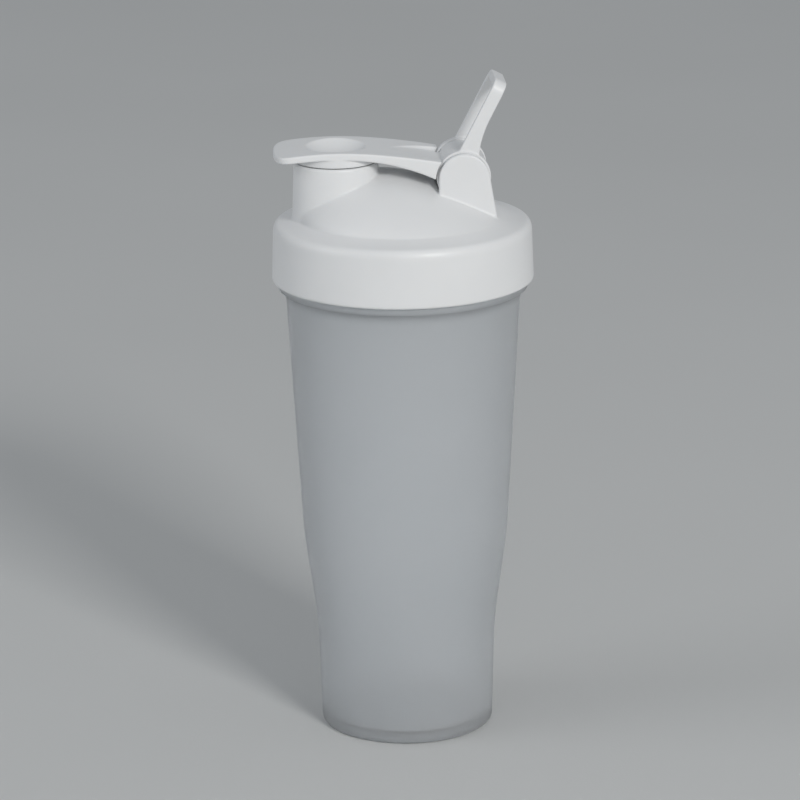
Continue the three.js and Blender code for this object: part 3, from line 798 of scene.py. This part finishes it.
class Nodes:
    """A new node material with a Principled shader, and short ways to add nodes to it."""

    def __init__(self, name):
        self.material = bpy.data.materials.new(name)
        self.material.use_nodes = True
        self.tree = self.material.node_tree
        self.shader = self.tree.nodes["Principled BSDF"]

    def add(self, kind, **inputs):
        node = self.tree.nodes.new(kind)
        for key, value in inputs.items():
            node.inputs[key.replace("_", " ")].default_value = value
        return node

    def link(self, output, target):
        self.tree.links.new(output, target)

    def noise(self, scale, detail=2.0, rough=0.5):
        """Noise in the object's own space, with scale in lumps per metre."""
        place = self.add("ShaderNodeTexCoord")
        noise = self.add("ShaderNodeTexNoise", Scale=scale, Detail=detail, Roughness=rough)
        self.link(place.outputs["Object"], noise.inputs["Vector"])
        return noise.outputs["Fac"]

    def spread(self, value, low, high):
        """A value that runs from low to high as the noise runs over its usual range."""
        node = self.tree.nodes.new("ShaderNodeMapRange")
        node.inputs["From Min"].default_value = 0.3
        node.inputs["From Max"].default_value = 0.7
        node.inputs["To Min"].default_value = low
        node.inputs["To Max"].default_value = high
        self.link(value, node.inputs["Value"])
        return node.outputs["Result"]

    def mix(self, value, one, two):
        """A colour between two, by a value."""
        node = self.tree.nodes.new("ShaderNodeMix")
        node.data_type = "RGBA"
        node.inputs["A"].default_value = (*one, 1)
        node.inputs["B"].default_value = (*two, 1)
        self.link(value, node.inputs["Factor"])
        return node.outputs["Result"]

    def bump(self, *layers):
        """Bumps one over the other, each as (height, distance in metres)."""
        last = None
        for height, distance in layers:
            node = self.add("ShaderNodeBump", Distance=distance)
            self.link(height, node.inputs["Height"])
            if last:
                self.link(last, node.inputs["Normal"])
            last = node.outputs["Normal"]
        self.link(last, self.shader.inputs["Normal"])


def white_plastic():
    """Satin white moulded plastic: a fine etched grain, faint flow marks and slightly uneven gloss."""
    m = Nodes("white_plastic")
    tint = m.mix(m.spread(m.noise(35, 3), 0, 1), (0.8, 0.806, 0.812), (0.83, 0.835, 0.84))
    m.link(tint, m.shader.inputs["Base Color"])
    m.link(m.spread(m.noise(160, 4), 0.36, 0.46), m.shader.inputs["Roughness"])
    m.shader.inputs["IOR"].default_value = 1.49
    m.shader.inputs["Subsurface Weight"].default_value = 0.12
    m.shader.inputs["Subsurface Radius"].default_value = (0.0022, 0.002, 0.0018)
    m.shader.inputs["Subsurface Scale"].default_value = 1.0
    m.bump((m.noise(2600, 2), 0.000012), (m.noise(60, 1), 0.00006))
    return m.material


def frosted_plastic():
    """Frosted, see-through plastic: hazy all through, with a fine etched grain and cloudy flow marks."""
    m = Nodes("frosted_plastic")
    tint = m.mix(m.spread(m.noise(28, 3), 0, 1), (0.915, 0.938, 0.958), (0.945, 0.963, 0.982))
    m.link(tint, m.shader.inputs["Base Color"])
    m.link(m.spread(m.noise(140, 4), 0.36, 0.44), m.shader.inputs["Roughness"])
    m.shader.inputs["IOR"].default_value = 1.45
    m.shader.inputs["Transmission Weight"].default_value = 0.76
    m.bump((m.noise(2200, 2), 0.00002), (m.noise(45, 1), 0.00008))
    return m.material


def silicone():
    """Soft milky silicone with a dusty bloom."""
    m = Nodes("silicone")
    tint = m.mix(m.spread(m.noise(180, 3), 0, 1), (0.52, 0.55, 0.57), (0.6, 0.62, 0.63))
    m.link(tint, m.shader.inputs["Base Color"])
    m.link(m.spread(m.noise(300, 3), 0.5, 0.65), m.shader.inputs["Roughness"])
    m.shader.inputs["Subsurface Weight"].default_value = 0.3
    m.shader.inputs["Subsurface Radius"].default_value = (0.002, 0.002, 0.002)
    m.shader.inputs["Subsurface Scale"].default_value = 1.0
    m.bump((m.noise(1500, 2), 0.00002))
    return m.material


def paper():
    """Matt pale paper with a faint mottle."""
    m = Nodes("studio_paper")
    tint = m.mix(m.spread(m.noise(2, 4), 0, 1), (0.62, 0.625, 0.62), (0.65, 0.655, 0.65))
    m.link(tint, m.shader.inputs["Base Color"])
    m.shader.inputs["Roughness"].default_value = 0.8
    m.bump((m.noise(900, 2), 0.00004))
    return m.material


# ---- Assembly ------------------------------------------------------------------------------------


def place(obj, node, body, material, slot):
    """Puts a finished piece in a CAD node's stead."""
    obj.data.materials.clear()
    obj.data.materials.append(material)
    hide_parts(node)
    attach(obj, body)


# ---- Studio --------------------------------------------------------------------------------------

CAMERA_AZIMUTH = math.radians(-3.5)
CAMERA_DISTANCE, CAMERA_HEIGHT = 1.5, 0.5607
CAMERA_PITCH, CAMERA_YAW, CAMERA_ROLL = math.radians(16.23), math.radians(-0.06), math.radians(-0.61)
CAMERA_LENS, SENSOR = 189.95, 36.0
FLOOR_REACH = 12.0
AIM = (0, 0, 0.13)


def make_camera():
    """A long lens, a little above the lid, that sees the spout on the left and the hinge on the right."""
    data = bpy.data.cameras.new("camera")
    data.lens, data.sensor_width = CAMERA_LENS, SENSOR
    data.clip_start, data.clip_end = 0.05, 50
    camera = bpy.data.objects.new("camera", data)
    bpy.context.scene.collection.objects.link(camera)
    aim = Matrix.Rotation(CAMERA_AZIMUTH, 4, "Z") @ Matrix.Translation((0, -CAMERA_DISTANCE, CAMERA_HEIGHT))
    aim = aim @ Matrix.Rotation(-CAMERA_YAW, 4, "Z") @ Matrix.Rotation(math.pi / 2 - CAMERA_PITCH, 4, "X")
    camera.matrix_world = aim @ Matrix.Rotation(CAMERA_ROLL, 4, "Z")
    bpy.context.scene.camera = camera


def make_floor():
    """A wide plain floor."""
    reach = FLOOR_REACH / MM
    corners = [(-reach, -reach, 0.0), (reach, -reach, 0.0), (reach, reach, 0.0), (-reach, reach, 0.0)]
    floor = new_object("studio_floor", corners, [(0, 1, 2, 3)])
    floor.data.materials.append(paper())


def area_light(name, azimuth, elevation, distance, size, watts, colour):
    """A square soft light that looks at the bottle. Azimuth 0 is the camera's and grows to its right."""
    data = bpy.data.lights.new(name, "AREA")
    data.size, data.energy, data.color = size, watts, colour
    light = bpy.data.objects.new(name, data)
    bpy.context.scene.collection.objects.link(light)
    turn = math.radians(azimuth) + CAMERA_AZIMUTH
    lift = math.radians(elevation)
    away = Vector((math.sin(turn) * math.cos(lift), -math.cos(turn) * math.cos(lift), math.sin(lift)))
    light.location = Vector(AIM) + away * distance
    light.rotation_euler = away.to_track_quat("Z", "Y").to_euler()


def make_lights():
    area_light("key", 28, 26, 3.0, 0.64, 40, (1.0, 0.99, 0.97))
    area_light("window", -74, 24, 3.0, 1.8, 15, (0.97, 0.985, 1.0))
    world = bpy.data.worlds.new("studio")
    bpy.context.scene.world = world
    world.use_nodes = True
    background = world.node_tree.nodes["Background"]
    background.inputs["Color"].default_value = (0.92, 0.96, 1.0, 1)
    background.inputs["Strength"].default_value = 0.37


# ---- The scene -----------------------------------------------------------------------------------

bpy.context.scene.view_settings.view_transform = "Standard"
make_camera()
make_floor()
make_lights()

white, frosted = white_plastic(), frosted_plastic()
place(make_cup(), "cup", "cup", frosted, "frosted_plastic")
place(make_lid(), "screw_lid", "lid", white, "white_plastic")
place(make_cap(), "flip_cap", "cap", white, "white_plastic")
place(make_loop(), "carry_loop", "loop", white, "white_plastic")
place(make_seal(), "lid_seal", "seal", silicone(), "silicone")
place(make_grid(), "mixing_grid", "lid", white, "white_plastic")
